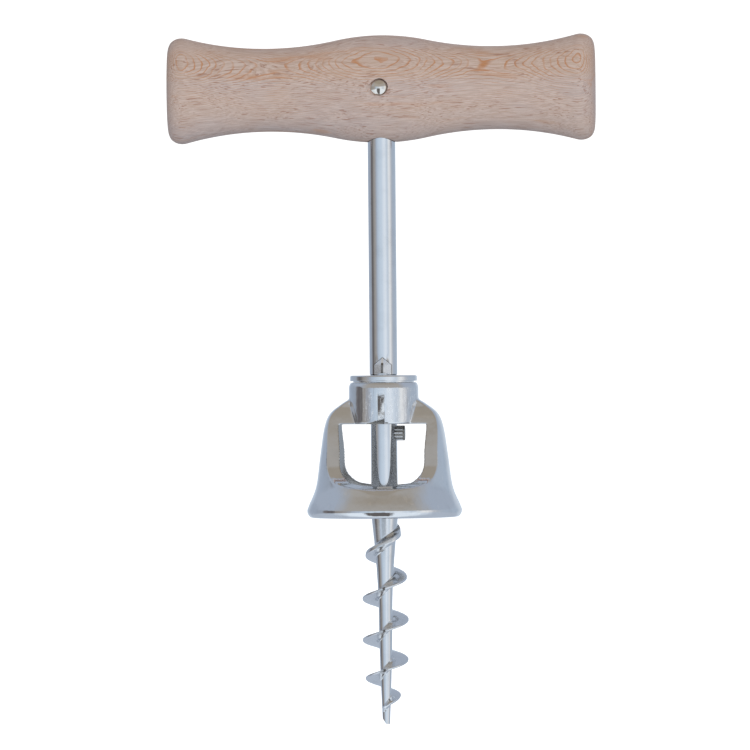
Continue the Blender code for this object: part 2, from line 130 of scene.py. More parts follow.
def slab(outline, axis, start, end):
    """Push a closed outline through along X or Y; its points are (Y, Z) or (X, Z)."""
    bm = bmesh.new()
    for across, height in outline:
        bm.verts.new((start, across, height) if axis == "X" else (across, start, height))
    face = bmesh.ops.contextual_create(bm, geom=bm.verts[:])["faces"]
    pushed = bmesh.ops.extrude_face_region(bm, geom=face)["geom"]
    corners = [item for item in pushed if isinstance(item, bmesh.types.BMVert)]
    way = Vector((end - start, 0, 0)) if axis == "X" else Vector((0, end - start, 0))
    bmesh.ops.translate(bm, verts=corners, vec=way)
    return bm


def hull(points):
    """The convex block that a few corner points span."""
    bm = bmesh.new()
    corners = [bm.verts.new(point) for point in points]
    inside = bmesh.ops.convex_hull(bm, input=corners)["geom_interior"]
    bmesh.ops.delete(bm, geom=[v for v in inside if isinstance(v, bmesh.types.BMVert)],
                     context="VERTS")
    return bm


def smooth_curve(points, steps):
    """A Catmull-Rom curve through points of the plane."""
    points = [Vector(point) for point in points]
    ends = [2 * points[0] - points[1], *points, 2 * points[-1] - points[-2]]
    curve = []
    for a, b, c, d in zip(ends, ends[1:], ends[2:], ends[3:]):
        for step in range(steps):
            t = step / steps
            curve.append(0.5 * (2 * b + (c - a) * t + (2 * a - 5 * b + 4 * c - d) * t * t
                                + (3 * b - a - 3 * c + d) * t ** 3))
    return [tuple(point) for point in curve] + [tuple(points[-1])]


def between(low, high, share):
    return low + (high - low) * share


# %% [markdown]
# ## From a shape to a piece
#
# A cut is a Boolean modifier that is applied at once, so that the next step works on real
# faces. Each finished piece then rides on the body that carries it, and hides the plain CAD
# part that it stands for.

# %% Cutting, joining and handing over
def as_object(name, bm, move=None):
    if move:
        bmesh.ops.transform(bm, matrix=move, verts=bm.verts)
    bmesh.ops.recalc_face_normals(bm, faces=bm.faces)
    mesh = bpy.data.meshes.new(name)
    bm.to_mesh(mesh)
    bm.free()
    thing = bpy.data.objects.new(name, mesh)
    bpy.context.scene.collection.objects.link(thing)
    return thing


def apply_modifiers(thing):
    bpy.context.view_layer.update()
    solved = thing.evaluated_get(bpy.context.evaluated_depsgraph_get())
    mesh = bpy.data.meshes.new_from_object(solved)
    thing.modifiers.clear()
    thing.data = mesh


def combine(target, tool, operation="DIFFERENCE"):
    """Cut the tool out of the target, or join it on, and throw the tool away."""
    modifier = target.modifiers.new("tool", "BOOLEAN")
    modifier.operation = operation
    modifier.solver = "EXACT"
    modifier.object = tool
    apply_modifiers(target)
    bpy.data.objects.remove(tool)


def hand_over(piece, body, node, sharp=35):
    """Shade a piece smooth, save where it bends by more than sharp degrees, and place it."""
    piece.data.shade_smooth()
    piece.data.set_sharp_from_angle(angle=radians(sharp))
    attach(piece, body)
    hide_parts(node)
    print(piece.name, "has", len(piece.data.polygons), "faces")


# %% [markdown]
# ## The handle
#
# The handle is a beech billet, copied on a lathe that follows a template and then sanded. It
# is thickest in the middle, where the shaft goes in, has a waist on each side for two
# fingers, and flares at the ends so that the hand can't slip off. A box with rounded edges
# would miss the waists, so a sheet is rolled into a tube instead, and a rule gives each ring
# of the tube its height and its depth.

# %% Describe the outline of the handle
handle_length = handle_high.x - handle_low.x
handle_height = 25.2 * MM
handle_depth = 16.0 * MM
waist_height = 19.5 * MM
waist_depth = 13.6 * MM
waist_place = 26.7 * MM
crest_share = 0.4
end_arc = 73.0 * MM
end_rounding = 3.8 * MM
end_bulge = 0.7 * MM
section_power = 2.15
handle_middle = handle_top - handle_height / 2
half_length = handle_length / 2


def outline_half_height(along):
    """A round crest, a hollow waist and a flare to the end, as three touching arcs."""
    crest, waist = handle_height / 2, waist_height / 2
    rise = crest - waist
    both = (waist_place ** 2 + rise ** 2) / (2 * rise)
    crest_arc, waist_arc = both * crest_share, both * (1 - crest_share)
    along = min(abs(along), half_length - end_bulge)
    if along < waist_place * crest_share:
        return crest - crest_arc + sqrt(crest_arc ** 2 - along ** 2)
    if along > waist_place:
        waist_arc = end_arc
    return waist + waist_arc - sqrt(waist_arc ** 2 - (along - waist_place) ** 2)


# %% Place the rings of the sheet, close together where the end is rounded
straight = half_length - end_bulge - end_rounding
deepest_inset = 6.9 * MM
rings_on_body, rings_on_end = 72, 20
stations = [(straight * k / rings_on_body, 0) for k in range(rings_on_body)]
for k in range(rings_on_end + 1):
    inset = deepest_inset * (1 - cos(pi / 2 * k / rings_on_end))
    left_of_arc = max(0, 1 - inset / end_rounding)
    dome = end_bulge * sin(pi / 2 * inset / deepest_inset)
    stations.append((straight + end_rounding * sqrt(1 - left_of_arc ** 2) + dome, inset))
stations = [(-along, inset) for along, inset in stations[:0:-1]] + stations


def on_handle(u, v):
    along, inset = stations[round(v * (len(stations) - 1))]
    half_height = min(outline_half_height(along), handle_height / 2 + inset)
    share = (half_height - waist_height / 2) / (handle_height / 2 - waist_height / 2)
    half_depth = between(waist_depth, handle_depth, share) / 2
    c, s = cos(2 * pi * u), sin(2 * pi * u)
    y = abs(c) ** (2 / section_power) * (1 if c > 0 else -1) * (half_depth - inset)
    z = abs(s) ** (2 / section_power) * (1 if s > 0 else -1) * (half_height - inset)
    return Vector((along, y, handle_middle + z))


turned_handle = as_object("turned_handle", rolled(112, len(stations) - 1, on_handle))

# %% [markdown]
# The socket for the shaft is drilled from below, and a cross hole takes the rivet. The seat of
# the rivet's head was drilled a tenth of a millimetre off its middle, and the drill tore a
# splinter out of the grain beside it, which is left as a shallow chip.

# %% Drill the handle
socket_depth = 18.7 * MM
rivet_shank, rivet_head = 1.4 * MM, 2.0 * MM
rivet_seat = handle_depth / 2 - 1.2 * MM
past = handle_depth
crosswise = Matrix.Translation((0, 0, handle_middle)) @ Matrix.Rotation(pi / 2, 4, "X")

socket = turned([(0, -past), (shaft_radius + gap, -past), (shaft_radius + gap, socket_depth),
                 (0, socket_depth + gap)], 64)
to_base = Matrix.Translation((0, 0, handle_middle - handle_height / 2))
combine(turned_handle, as_object("socket", socket, to_base))
seat_radius = rivet_head + 0.03 * MM
seat = turned([(0, -past), (seat_radius, -past), (seat_radius, -rivet_seat),
               (rivet_shank + gap, -rivet_seat), (rivet_shank + gap, rivet_seat),
               (seat_radius, rivet_seat), (seat_radius, past), (0, past)], 48)
seat_slip = Matrix.Translation((0.10 * MM, 0, 0.10 * MM))
combine(turned_handle, as_object("rivet_seat", seat, seat_slip @ crosswise))
surface = -handle_depth / 2
# Corners of the chip in mm: sideways from the rivet, into the wood, and up from the rivet.
splinter = hull([(x * MM, surface + y * MM, handle_middle + z * MM) for x, y, z in (
    (-3.4, -0.3, -0.2), (-2.95, -0.3, -1.1), (-1.3, -0.3, 1.95), (-0.6, -0.3, -2.35),
    (-2.9, 0.2, -0.4), (-1.6, 0.75, 1.1), (-1.0, 0.8, -1.5), (-1.8, 0.9, 0))])
combine(turned_handle, as_object("splinter", splinter))
hand_over(turned_handle, "handle_and_spindle", "handle", sharp=40)

# %% [markdown]
# ## The rivet
#
# A soft steel rivet pins the shaft in the handle. Its ends were peened into low domes, steeper
# towards the edge. An outline spun round an axis gives both of them at once.

# %% Turn the rivet
dome_height, dome_power, head_edge_rounding = 0.8 * MM, 1.8, 0.16 * MM
crown_edge = rivet_high.y - dome_height
crown_radius = rivet_head - head_edge_rounding
half_rivet = [(rivet_shank, rivet_seat + gap), (rivet_head, rivet_seat + gap)]
for k in range(5):
    turn = pi / 3 * k / 4
    half_rivet.append((crown_radius + head_edge_rounding * cos(turn),
                       crown_edge - head_edge_rounding * (1 - sin(turn))))
for k in range(1, 15):
    share = 1 - k / 14
    half_rivet.append((crown_radius * share,
                       crown_edge + dome_height * (1 - share ** dome_power)))
rivet_outline = [(radius, -height) for radius, height in half_rivet[::-1]] + half_rivet
domed_rivet = as_object("domed_rivet", turned(rivet_outline, 64), crosswise)
hand_over(domed_rivet, "handle_and_spindle", "handle_rivet")

# %% [markdown]
# ## The spindle and its worm
#
# The shaft and the worm are one bar. The flight was rolled and ground into its lower end: a
# thin ribbon that winds round a solid core, a little steeper at each turn, and runs out into
# the bar at the top. A helix modifier can't change its pitch or its thickness on the way, so
# the bar is a rolled sheet again. At every height its section is a circle with one tooth, and
# the tooth turns as the height grows.

# %% Say how the worm turns and how thick it is at each height
worm_length = 48.5 * MM
pitch_at_point, pitch_at_shaft = 8.1 * MM, 11.3 * MM
point_radius, core_radius_mid = 0.85 * MM, 1.6 * MM
flight_widest, flight_start = 5.45 * MM, 3.0 * MM
flight_faces_x = 6.2 * MM
rim_thickness, root_thickness, run_out_extra = 0.55 * MM, 1.6 * MM, 1.2 * MM
widest_turn = 0.55
pitch_growth = (pitch_at_shaft - pitch_at_point) / worm_length


def turns_up_to(height):
    return log(1 + pitch_growth * height / pitch_at_point) / pitch_growth


def height_after(turns):
    return pitch_at_point * (exp(pitch_growth * turns) - 1) / pitch_growth


def core_radius(height):
    middle = worm_length / 2
    if height < middle:
        return core_radius_mid - (core_radius_mid - point_radius) * (1 - height / middle) ** 1.5
    share = min((height - middle) / middle, 1)
    return between(core_radius_mid, journal_radius, share ** 1.8)


def run_out(height):
    widest = widest_turn * worm_length
    return max(0, min((height - widest) / (worm_length - widest), 1)) ** 2


def flight_radius(height):
    core, widest = core_radius(height), widest_turn * worm_length
    lead = max(0, min((height - flight_start) / (widest - flight_start), 1))
    radius = core + (flight_widest - core) * (1 - (1 - lead) ** 4.8)
    return between(radius, journal_radius, run_out(height))


# %% Roll the bar
ear_base = washer_high.z + 0.4 * MM
around_bar, rings_per_turn = 88, 44
rim_points, flank_points = 7, 17
worm_rings = ceil(turns_up_to(worm_length) * rings_per_turn)
bar_heights = [height_after(turns_up_to(worm_length) * k / worm_rings)
               for k in range(worm_rings + 1)]
chamfer = 0.5 * MM
above = [(between(worm_length, ear_base - gap, k / 12), journal_radius) for k in range(1, 13)]
above += [(ear_base - gap + 0.15 * MM, shaft_radius)]
above += [(between(ear_base, spindle_high.z - chamfer, k / 30), shaft_radius)
          for k in range(1, 31)]
above += [(spindle_high.z, shaft_radius - chamfer)]
bar_rings = [(height, None) for height in bar_heights] + above


def tooth(step, height):
    """Angle from the flight's middle, and share of its height, of one point of the section."""
    pitch = pitch_at_point + pitch_growth * height
    extra = run_out_extra * run_out(height)
    edge = pi * (rim_thickness + extra) / pitch
    foot = 1.5 * pi * (root_thickness + extra) / pitch
    if step <= rim_points:
        share = step / rim_points
        return edge * share, 1 - 0.035 * share ** 4
    step -= rim_points
    if step <= flank_points:
        share = step / flank_points
        return between(edge, foot, share), 0.965 * (1 - share) ** 2.6
    step -= flank_points
    rest = around_bar // 2 - rim_points - flank_points
    return between(foot, pi, step / rest), 0


def on_bar(u, v):
    height, radius = bar_rings[round(v * (len(bar_rings) - 1))]
    low = min(height, worm_length)
    middle = 2 * pi * (turns_up_to(low) - turns_up_to(flight_faces_x))
    step = round(u * around_bar) - around_bar // 2
    angle, share = tooth(abs(step), low)
    angle = middle + (angle if step > 0 else -angle)
    if radius is None:
        radius = between(core_radius(height), flight_radius(height), share)
    return Vector((radius * cos(angle), radius * sin(angle), height))


bar = rolled(around_bar, len(bar_rings) - 1, on_bar)

# %% [markdown]
# The point is ground to a bevel on one side. Two ears are swaged out of the bar just above
# the washer: a press squeezed the steel into a small house shape with a narrow crest, and
# they carry the pull when the cork comes out. Their edges are rounded by a bevel before they
# are joined to the bar. A bevel reaches past a sharp corner, so the crest starts a little
# higher than the ear, and the washer can rise to it freely.

# %% Grind the point, swage the ears, drill for the rivet and the pin
everything = bar.verts[:] + bar.edges[:] + bar.faces[:]
ground = bmesh.ops.bisect_plane(bar, geom=everything, plane_co=(0, 0, 0),
                                plane_no=(-1.5, 0, -1.0), clear_outer=True)
edges = [item for item in ground["geom_cut"] if isinstance(item, bmesh.types.BMEdge)]
bmesh.ops.edgeloop_fill(bar, edges=edges)
spindle_bar = as_object("spindle_bar", bar)

ear_width, ear_crest, ear_rise = 4.2 * MM, 0.5 * MM, 1.35 * MM
crest_lift = 0.2 * MM
eaves, roof = ear_base + 2.1 * MM, ear_base + 3.9 * MM
ear_foot, ear_reach = 0.75 * shaft_radius, shaft_radius + ear_rise
for side in (-1, 1):
    corners = [(0, ear_foot, roof), (0, 0, ear_base), (0, 0, eaves)]
    for x in (-1, 1):
        corners += [(x * ear_width / 2, ear_foot, ear_base), (x * ear_width / 2, ear_foot, eaves)]
        corners += [(x * ear_crest / 2, ear_reach, ear_base + crest_lift),
                    (x * ear_crest / 2, ear_reach, eaves)]
        corners += [(x * ear_crest / 2, shaft_radius + gap, roof - gap)]
    ear = hull([(x, side * y, z) for x, y, z in corners])
    outer = [edge for edge in ear.edges if min(abs(v.co.y) for v in edge.verts) > shaft_radius]
    bmesh.ops.bevel(ear, geom=outer, offset=0.1 * MM, segments=2, profile=0.5,
                    affect="EDGES", material=-1, clamp_overlap=True)
    combine(spindle_bar, as_object("ear", ear), "UNION")

hole = turned([(0, -past), (rivet_shank + gap, -past), (rivet_shank + gap, past), (0, past)], 48)
combine(spindle_bar, as_object("rivet_hole", hole, crosswise))
pin_radius, pin_inside = 1.75 * MM, 1.3 * MM
hole = turned([(0, -pin_inside - gap), (pin_radius + 0.02 * MM, -pin_inside - gap),
               (pin_radius + 0.02 * MM, past), (0, past)], 48)
sideways = Matrix.Translation((0, 0, pin_height)) @ Matrix.Rotation(pi / 2, 4, "Y")
combine(spindle_bar, as_object("pin_hole", hole, sideways))
hand_over(spindle_bar, "handle_and_spindle", "spindle", sharp=38)

# %% [markdown]
# ## The stop pin
#
# A knurled pin is pressed into the spindle below the collar and keeps the bell up. Its flutes
# are straight grooves, so a rolled sheet whose radius goes in and out gives them.

# %% Roll the fluted pin
flutes, flute_depth = 12, 0.16 * MM
pin_edge = 0.2 * MM
pin_stations = [(-pin_inside, 0)]
pin_stations += [(between(-pin_inside, pin_high.x - pin_edge, k / 6), 0) for k in range(1, 7)]
pin_stations += [(pin_high.x - pin_edge * (1 - sin(pi / 2 * k / 4)),
                  pin_edge * (1 - cos(pi / 2 * k / 4))) for k in range(1, 5)]
pin_stations += [(pin_high.x, 0.9 * MM)]


def on_pin(u, v):
    along, inset = pin_stations[round(v * (len(pin_stations) - 1))]
    groove = flute_depth * (0.5 - 0.5 * cos(2 * pi * flutes * u)) ** 1.5
    radius = pin_radius - inset - groove * (1 - inset / pin_radius)
    return Vector((radius * cos(2 * pi * u), radius * sin(2 * pi * u), along))


fluted_pin = as_object("fluted_pin", rolled(flutes * 12, len(pin_stations) - 1, on_pin), sideways)
hand_over(fluted_pin, "handle_and_spindle", "stop_pin")

# %% [markdown]
# ## The washer
#
# A loose washer sits between the ears and the collar, so that the ears don't plough into the
# softer casting. It is stamped, so its upper edge is drawn round and its lower one is crisp. A
# low step under it all but touches the collar, and leaves a thin shadow between the two.

# %% Turn the washer
bore_radius = journal_radius + gap
washer_radius = washer_high.x
washer_clearance = 0.03 * MM
washer_foot = collar_top + washer_clearance
washer_thickness = washer_high.z - washer_foot
crisp, drawn = 0.12 * MM, 0.35 * MM
boss_height, boss_radius = 0.25 * MM, washer_radius - 0.7 * MM
washer_outline = [(bore_radius, 0), (boss_radius, 0), (boss_radius, boss_height),
                  (washer_radius - crisp, boss_height), (washer_radius, boss_height + crisp)]
for k in range(7):
    turn = pi / 2 * k / 6
    washer_outline.append((washer_radius - drawn * (1 - cos(turn)),
                           washer_thickness - drawn * (1 - sin(turn))))
washer_outline += [(bore_radius + drawn, washer_thickness),
                   (bore_radius, washer_thickness - drawn)]
thrust_ring = as_object("thrust_ring", turned(washer_outline, 160),
                        Matrix.Translation((0, 0, washer_foot)))
hand_over(thrust_ring, "thrust_washer", "thrust_washer", sharp=30)

# %% [markdown]
# ## The bell
#
# The bell is one casting: a collar that turns on the spindle, two arms, and a ring that
# stands on the bottle's mouth. It is modelled in the order in which it could be machined. A
# bell-shaped blank is turned, the windows are cut through it, the collar is joined on, and
# the inside is hollowed. Cuts leave knife edges, but this casting went through a tumbler and
# over a mop before it was plated. A fine voxel remesh gives it an even skin, and rounds of
# smoothing ease every edge a little, just as the mop does. Such a skin is denser than it needs
# to be, so a Decimate modifier then thins it. The notch in the collar's lower edge is filed
# after the mop, so it is cut last and stays crisp.

# %% Draw the outside of the bell and the cut that opens the windows
lip_radius, seat_width, seat_depth = 14.7 * MM, 1.5 * MM, 4.0 * MM
cage_height, ring_height = 21.9 * MM, 7.1 * MM
ceiling_radius, shoulder_rise = 11.3 * MM, 6.2 * MM
mouth_radius = lip_radius + gap
hollow_radius = mouth_radius - seat_width
rim_radius = mouth_radius + 3.2 * MM
ring_radius = hollow_radius + 2.5 * MM
shoulder_radius = ceiling_radius + 2.7 * MM
lip_rounding, lip_flat = 1.8 * MM, 1.9 * MM
collar_length, collar_radius, collar_chamfer = 9.8 * MM, 8.15 * MM, 0.4 * MM
shoulder_top = cage_height + shoulder_rise


def bell_outside():
    middle = (cage_height + ring_height) / 2
    curve = smooth_curve([
        (collar_radius - 2 * gap, shoulder_top),
        (between(collar_radius, shoulder_radius, 0.34), between(cage_height, shoulder_top, 0.74)),
        (between(collar_radius, shoulder_radius, 0.78), between(cage_height, shoulder_top, 0.39)),
        (shoulder_radius, between(cage_height, middle, 0.12)),
        (between(ceiling_radius, hollow_radius, 0.5) + 2.6 * MM, middle),
        (ring_radius, ring_height + gap),
        (rim_radius - 0.5 * MM, 3.1 * MM),
        (rim_radius, lip_rounding)], 10)
    edge = mouth_radius + lip_flat
    lip = [(edge + (rim_radius - edge) * cos(radians(turn)),
            lip_rounding * (1 - sin(radians(turn)))) for turn in range(10, 91, 10)]
    return [(0, shoulder_top), *curve, *lip, (0, 0)]


def window_outline():
    """(Depth, height above the rim) of what is cut away in front of the arms."""
    outside = rim_radius + 3 * MM
    top_depth, arm_depth, foot_depth, shoulder_depth = 5.0 * MM, 7.1 * MM, 8.4 * MM, 1.6 * MM
    curve = smooth_curve([
        (shoulder_depth, shoulder_top + gap),
        (between(shoulder_depth, top_depth, 0.6), cage_height + shoulder_rise / 2),
        (top_depth, cage_height),
        (arm_depth, between(ring_height, cage_height, 0.63)),
        (foot_depth, between(ring_height, cage_height, 0.31)),
        (between(foot_depth, hollow_radius, 0.5), between(ring_height, cage_height, 0.1)),
        (hollow_radius + gap, ring_height + 0.25 * MM),
        (ring_radius - 1.1 * MM, ring_height - 0.05 * MM),
        (ring_radius - 0.4 * MM, ring_height - 0.4 * MM),
        (ring_radius + 0.15 * MM, ring_height - 1.1 * MM),
        (ring_radius + 0.6 * MM, ring_height - 2.1 * MM),
        (outside, ring_height - 2.5 * MM)], 10)
    above_collar = cage_height + collar_length + 3 * MM
    return curve + [(outside, above_collar), (shoulder_depth, above_collar)]


# %% Machine the blank into a bell
on_rim = Matrix.Translation((0, 0, rim))
blank_steps = 360
polished_bell = as_object("polished_bell", turned(bell_outside(), blank_steps), on_rim)
wide = rim_radius + 3 * MM
for side in (-1, 1):
    outline = [(side * depth, height) for depth, height in window_outline()]
    combine(polished_bell, as_object("window", slab(outline, "X", -wide, wide), on_rim))

collar_start = cage_height - 3 * MM
collar_end = collar_top - rim
eased_rim = [(collar_radius - inwards * MM, collar_end - down * MM)
             for inwards, down in ((0, 1.2), (0.06, 0.85), (0.2, 0.5))]
collar = turned([(0, collar_start), (collar_radius, collar_start), *eased_rim,
                 (collar_radius - collar_chamfer, collar_end), (0, collar_end)], 200)
combine(polished_bell, as_object("collar", collar, on_rim), "UNION")

half_way = (seat_depth + ring_height) / 2
hollow = turned([(0, -3 * MM), (mouth_radius, -3 * MM), (mouth_radius, seat_depth),
                 (hollow_radius, seat_depth), (hollow_radius, half_way),
                 (ceiling_radius, cage_height), (0, cage_height)], blank_steps)
combine(polished_bell, as_object("hollow", hollow, on_rim))
bore = turned([(0, collar_start), (bore_radius, collar_start), (bore_radius, collar_end + 3 * MM),
               (0, collar_end + 3 * MM)], 100)
combine(polished_bell, as_object("bore", bore, on_rim))
print("the machined bell has", len(polished_bell.data.polygons), "faces")

# %% Skin it evenly and mop its edges round
voxel, mop_rounds, share_kept = 0.15 * MM, 16, 0.34
skin = polished_bell.modifiers.new("skin", "REMESH")
skin.mode = "VOXEL"
skin.voxel_size = voxel
apply_modifiers(polished_bell)
bm = bmesh.new()
bm.from_mesh(polished_bell.data)
for _ in range(mop_rounds):
    bmesh.ops.smooth_vert(bm, verts=bm.verts, factor=0.5, use_axis_x=True, use_axis_y=True,
                          use_axis_z=True)
bm.to_mesh(polished_bell.data)
bm.free()
thinned = polished_bell.modifiers.new("thinned", "DECIMATE")
thinned.ratio = share_kept
apply_modifiers(polished_bell)

notch_face, notch_ramp, notch_depth, notch_reach = 0.65 * MM, 5.15 * MM, 1.2 * MM, 1.2 * MM
notch = slab([(notch_face - notch_ramp * (1 + gap / notch_depth), cage_height - gap),
              (notch_face, cage_height + notch_depth), (notch_face, cage_height - gap)],
             "Y", -collar_radius - 3 * MM, notch_reach - collar_radius)
combine(polished_bell, as_object("notch", notch, on_rim))
hand_over(polished_bell, "bell", "bell", sharp=180)


# %% [markdown]
# ## Writing shaders as arithmetic
#
# A finish is a graph of nodes. Wiring it by hand is slow to read, so one small class wraps a
# socket: adding or multiplying two of them adds a Math node, and one method adds any other
# node. What follows then reads like the recipe that it is.

# %% A wire that can do sums
class Wire:
    """An output socket of a node. Arithmetic on it adds Math nodes to the same tree."""

    def __init__(self, tree, socket=None):
        self.tree = tree
        self.socket = socket

    def node(self, kind, settings=None, inputs=None, out=0):
        """Add a node: first its settings, then the value or the wire of each input.

        out names the output to carry on with; None gives all of them.
        """
        node = self.tree.nodes.new("ShaderNode" + kind)
        for name, value in (settings or {}).items():
            if name == "stops":
                fill_ramp(node.color_ramp, value)
            else:
                setattr(node, name, value)
        for name, value in (inputs or {}).items():
            if isinstance(value, Wire):
                self.tree.links.new(value.socket, node.inputs[name])
            else:
                node.inputs[name].default_value = value
        if out is None:
            return [Wire(self.tree, socket) for socket in node.outputs]
        return Wire(self.tree, node.outputs[out])

    def math(self, operation, *others):
        return self.node("Math", {"operation": operation}, dict(enumerate((self, *others))))

    def __add__(self, other):
        return self.math("ADD", other)

    def __sub__(self, other):
        return self.math("SUBTRACT", other)

    def __rsub__(self, other):
        return self.node("Math", {"operation": "SUBTRACT"}, {0: other, 1: self})

    def __mul__(self, other):
        return self.math("MULTIPLY", other)

    def __truediv__(self, other):
        return self.math("DIVIDE", other)

    def __pow__(self, other):
        return self.math("POWER", other)

    __radd__ = __add__
    __rmul__ = __mul__

    def ramp_up(self, low, high):
        """0 below low, 1 above high, and smooth in between; low may be above high."""
        settings = {"interpolation_type": "SMOOTHSTEP"}
        if low > high:
            return 1 - self.node("MapRange", settings, {0: self, 1: high, 2: low})
        return self.node("MapRange", settings, {0: self, 1: low, 2: high})

    def noise(self, scale, detail, roughness=0.5):
        """Cloudy noise from 0 to 1, on this wire's vector stretched by scale."""
        stretched = self.node("VectorMath", {"operation": "MULTIPLY"}, {0: self, 1: scale})
        return self.node("TexNoise", None, {"Vector": stretched, "Scale": 1.0, "Detail": detail,
                                            "Roughness": roughness})

    def mix(self, first, second):
        """Blend two colours; this wire is the share of the second."""
        return self.node("Mix", {"data_type": "RGBA"}, {0: self, 6: first, 7: second}, 2)

    def axes(self):
        return self.node("SeparateXYZ", None, {0: self}, None)


def fill_ramp(ramp, stops):
    """Give a colour ramp its stops, a list of (place, colour) from left to right."""
    while len(ramp.elements) < len(stops):
        ramp.elements.new(1.0)
    for element, (place, colour) in zip(ramp.elements, stops):
        element.position = place
        element.color = colour


def paint(red, green, blue):
    """A colour given as screen values from 0 to 255, as light values."""
    def light(value):
        value /= 255
        return value / 12.92 if value <= 0.04045 else ((value + 0.055) / 1.055) ** 2.4
    return (light(red), light(green), light(blue), 1.0)


def new_finish(name):
    """A material with an empty Principled shader, and a wire with its place in millimetres."""
    material = bpy.data.materials.new(name)
    material.use_nodes = True
    start = Wire(material.node_tree)
    metres = start.node("TexCoord", out="Object")
    place = metres.node("Mapping", None, {"Vector": metres, "Scale": (1000, 1000, 1000)})
    return material, material.node_tree.nodes["Principled BSDF"], place


def dress(piece, material):
    piece.data.materials.clear()
    piece.data.materials.append(material)


def connect(shader, inputs):
    tree = shader.id_data
    for name, value in inputs.items():
        if isinstance(value, Wire):
            tree.links.new(value.socket, shader.inputs[name])
        else:
            shader.inputs[name].default_value = value


def bump(height, size, normal=None):
    """Raise the surface by height, where 1 stands for size."""
    inputs = {"Height": height, "Distance": size, "Strength": 1.0}
    if normal:
        inputs["Normal"] = normal
    return height.node("Bump", None, inputs)


# %% [markdown]
# ## Raw beech
#
# Beech is pale and pinkish, and this handle is sanded and hardly oiled. Two things make it
# beech. Its growth rings are cylinders in the wood, and where the sanded face only grazes them
# they show as nested ovals with orange edges. Its rays are thin plates that are cut across as
# short dark dashes along the grain. So the rings are worked out in space, as a distance from
# the middle of the tree, and the carved shape itself draws the ovals.

# %% Beech
beech, shader, place = new_finish("raw_beech")
x, y, z = place.axes()
height = z - handle_middle / MM
drift = place.noise((0.09, 0.20, 0.20), 2.0) - 0.5
wobble = place.noise((0.30, 0.9, 0.9), 3.0, 0.6) - 0.5
wave_length, ring_spacing, band_height = 47.0, 0.42, 5.6
grain_wave = (x * (2 * pi / wave_length)).math("COSINE")
pith_y, pith_z, stretch = -20.8, 12.0, 1.55
from_pith = ((y * stretch - pith_y) ** 2.0 + (height - pith_z) ** 2.0).math("SQRT")
ring_depth = from_pith - grain_wave * 0.9 + drift * 1.3 + wobble * 0.20
ring = (ring_depth / ring_spacing).math("FRACT")
late_wood = ring.ramp_up(0.66, 0.93) * ring.ramp_up(1.0, 0.96)
patchy = place.noise((0.16, 0.4, 0.4), 3.0).ramp_up(0.38, 0.60)
flat_sawn = (height - band_height).math("ABSOLUTE").ramp_up(4.6, 2.2)
rings = late_wood * (patchy * 0.6 + 0.4) * (flat_sawn * 0.45 + 0.55)
lean = (place.noise((0.06, 0.13, 0.13), 0.0) - 0.5) * 5.0
leaning = place.node("VectorMath", {"operation": "ADD"}, {0: place, 1: lean})
fibre = leaning.noise((0.14, 4.0, 4.0), 3.0, 0.55)
dashes = leaning.noise((0.20, 4.2, 4.2), 1.0, 0.5).ramp_up(0.60, 0.69)
dashes = dashes * place.noise((0.12, 0.5, 0.5), 2.0).ramp_up(0.36, 0.54)
pores = place.noise((1.6, 5.0, 5.0), 2.0).ramp_up(0.60, 0.74)
streak = place.noise((0.05, 0.45, 0.45), 2.0).ramp_up(0.58, 0.72)
cloud = place.noise((0.04, 0.12, 0.12), 3.0)
colour = cloud.ramp_up(0.35, 0.65).mix(paint(184, 166, 159), paint(190, 167, 154))
colour = (flat_sawn * 0.6).mix(colour, paint(188, 158, 137))
colour = (fibre.ramp_up(0.40, 0.64) * 0.50).mix(colour, paint(216, 199, 190))
colour = (streak * 0.40).mix(colour, paint(192, 142, 106))
colour = (rings * 0.9).mix(colour, paint(186, 128, 84))
colour = (dashes * 0.62).mix(colour, paint(148, 100, 76))
colour = (pores * 0.32).mix(colour, paint(160, 112, 92))
grain_height = fibre * 0.5 - dashes * 0.5 - pores * 0.2
connect(shader, {
    "Base Color": colour,
    "Roughness": 0.58 + fibre * 0.16 - rings * 0.06,
    "Normal": bump(grain_height, 0.018 * MM),
    "Specular IOR Level": 0.35,
})
dress(turned_handle, beech)


# %% [markdown]
# ## Plated steel
#
# All the metal here is nickel plate over a polished base, so the colour is nearly that of
# its surroundings, and what makes it look like metal is how far from perfect the mirror is.
# A drawn bar keeps fine lines along its length, a casting keeps shallow waves under its
# polish, and edges lose their shine first. One function mixes these three.

